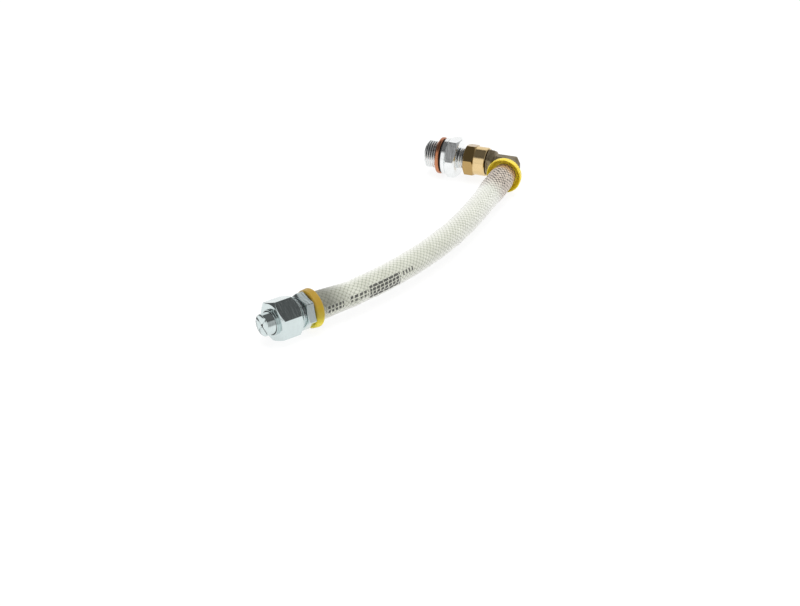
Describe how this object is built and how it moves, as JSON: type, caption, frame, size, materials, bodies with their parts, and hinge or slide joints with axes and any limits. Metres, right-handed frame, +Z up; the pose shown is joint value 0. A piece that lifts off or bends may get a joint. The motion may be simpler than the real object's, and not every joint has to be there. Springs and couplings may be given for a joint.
{
  "type": "oil drain hose",
  "caption": "Braided engine oil drain hose with an elbowed stud adapter for the sump at one end and a union nut holding a blanking plug at the other.",
  "frame": {"origin": "on the surface that the hose lies on, below the middle of the box round its fittings", "axes": "+X along the stud adapter from the sump towards the elbow, +Y against the way in which the hose leaves the elbow, +Z up from the surface"},
  "size_m": [0.0804, 0.2726, 0.0253],
  "materials": {
    "braid": "woven textile braid over rubber, matt off-white",
    "yellow_plastic": "moulded yellow plastic, satin",
    "zinc_steel": "bright zinc plate, faintly blue",
    "bright_brass": "turned brass",
    "dark_brass": "pressed brass, dulled to olive brown",
    "copper": "bare copper",
    "black_rubber": "moulded rubber",
    "wire_steel": "drawn wire"
  },
  "bodies": {
    "hose_assembly": {"hose": "braid", "near_collar": "yellow_plastic", "far_collar": "yellow_plastic", "straight_insert": "zinc_steel", "elbow_body": "dark_brass", "elbow_o_ring": "black_rubber", "nut_retaining_wire": "wire_steel"},
    "plug": {"blanking_plug": "zinc_steel", "plug_o_ring": "black_rubber"},
    "near_nut": {"union_nut": "zinc_steel"},
    "far_nut": {"swivel_nut": "bright_brass"},
    "adapter": {"stud_adapter": "zinc_steel", "copper_washer": "copper"}
  },
  "joints": [
    {"name": "plug_slide", "type": "slide", "parent": "hose_assembly", "child": "plug", "axis": [-0.521, -0.8536, 0], "range_m": [0, 0.0085]},
    {"name": "union_nut_turn", "type": "hinge", "parent": "plug", "child": "near_nut", "pos_m": [-0.03426, -0.13324, 0.01266], "axis": [-0.521, -0.8536, 0], "range_deg": [0, 2041]},
    {"name": "swivel_nut_turn", "type": "hinge", "parent": "hose_assembly", "child": "far_nut", "pos_m": [0.02871, 0.12253, 0.01266], "axis": [1, 0, 0], "range_deg": [0, 1681]},
    {"name": "adapter_slide", "type": "slide", "parent": "hose_assembly", "child": "adapter", "axis": [-1, 0, 0], "range_m": [0, 0.007]}
  ],
  "couplings": [
    {"joint": "union_nut_turn", "follows": "plug_slide", "rad_per_m": 4188.8},
    {"joint": "swivel_nut_turn", "follows": "adapter_slide", "rad_per_m": 4188.8}
  ]
}
